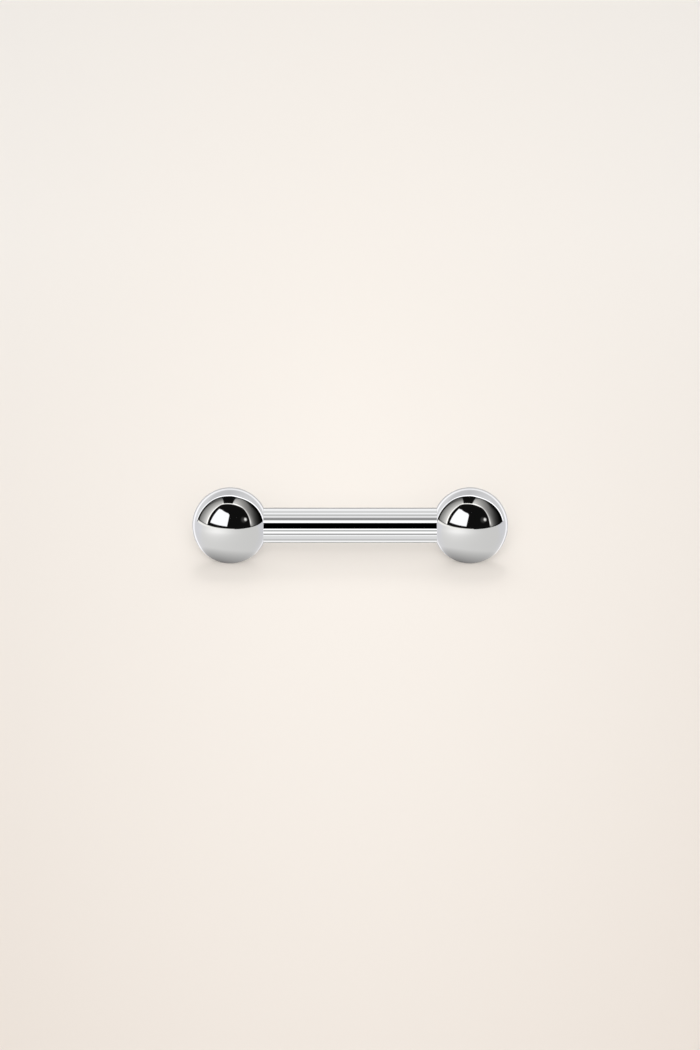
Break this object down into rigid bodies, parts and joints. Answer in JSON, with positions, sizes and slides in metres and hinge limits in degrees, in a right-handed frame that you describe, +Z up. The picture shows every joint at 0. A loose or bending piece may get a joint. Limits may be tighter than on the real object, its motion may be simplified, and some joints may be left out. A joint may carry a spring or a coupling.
{
  "type": "surface barbell",
  "caption": "Polished steel barbell for a body piercing: a straight round bar with a threaded end and a screw-on ball at each side.",
  "frame": {"origin": "on the surface that the balls stand on, midway between them", "axes": "+X along the bar towards the right ball, +Y away from the viewer, +Z up"},
  "size_m": [0.0108, 0.0026, 0.0026],
  "materials": {
    "bar_steel": "polished",
    "ball_steel": "polished"
  },
  "bodies": {
    "bar": {"bar": "bar_steel"},
    "left_ball": {"left_ball": "ball_steel"},
    "right_ball": {"right_ball": "ball_steel"}
  },
  "joints": [
    {"name": "left_ball_unscrew", "type": "slide", "parent": "bar", "child": "left_ball", "axis": [-1, 0, 0], "range_m": [0, 0.007]},
    {"name": "right_ball_unscrew", "type": "slide", "parent": "bar", "child": "right_ball", "axis": [1, 0, 0], "range_m": [0, 0.007]}
  ]
}
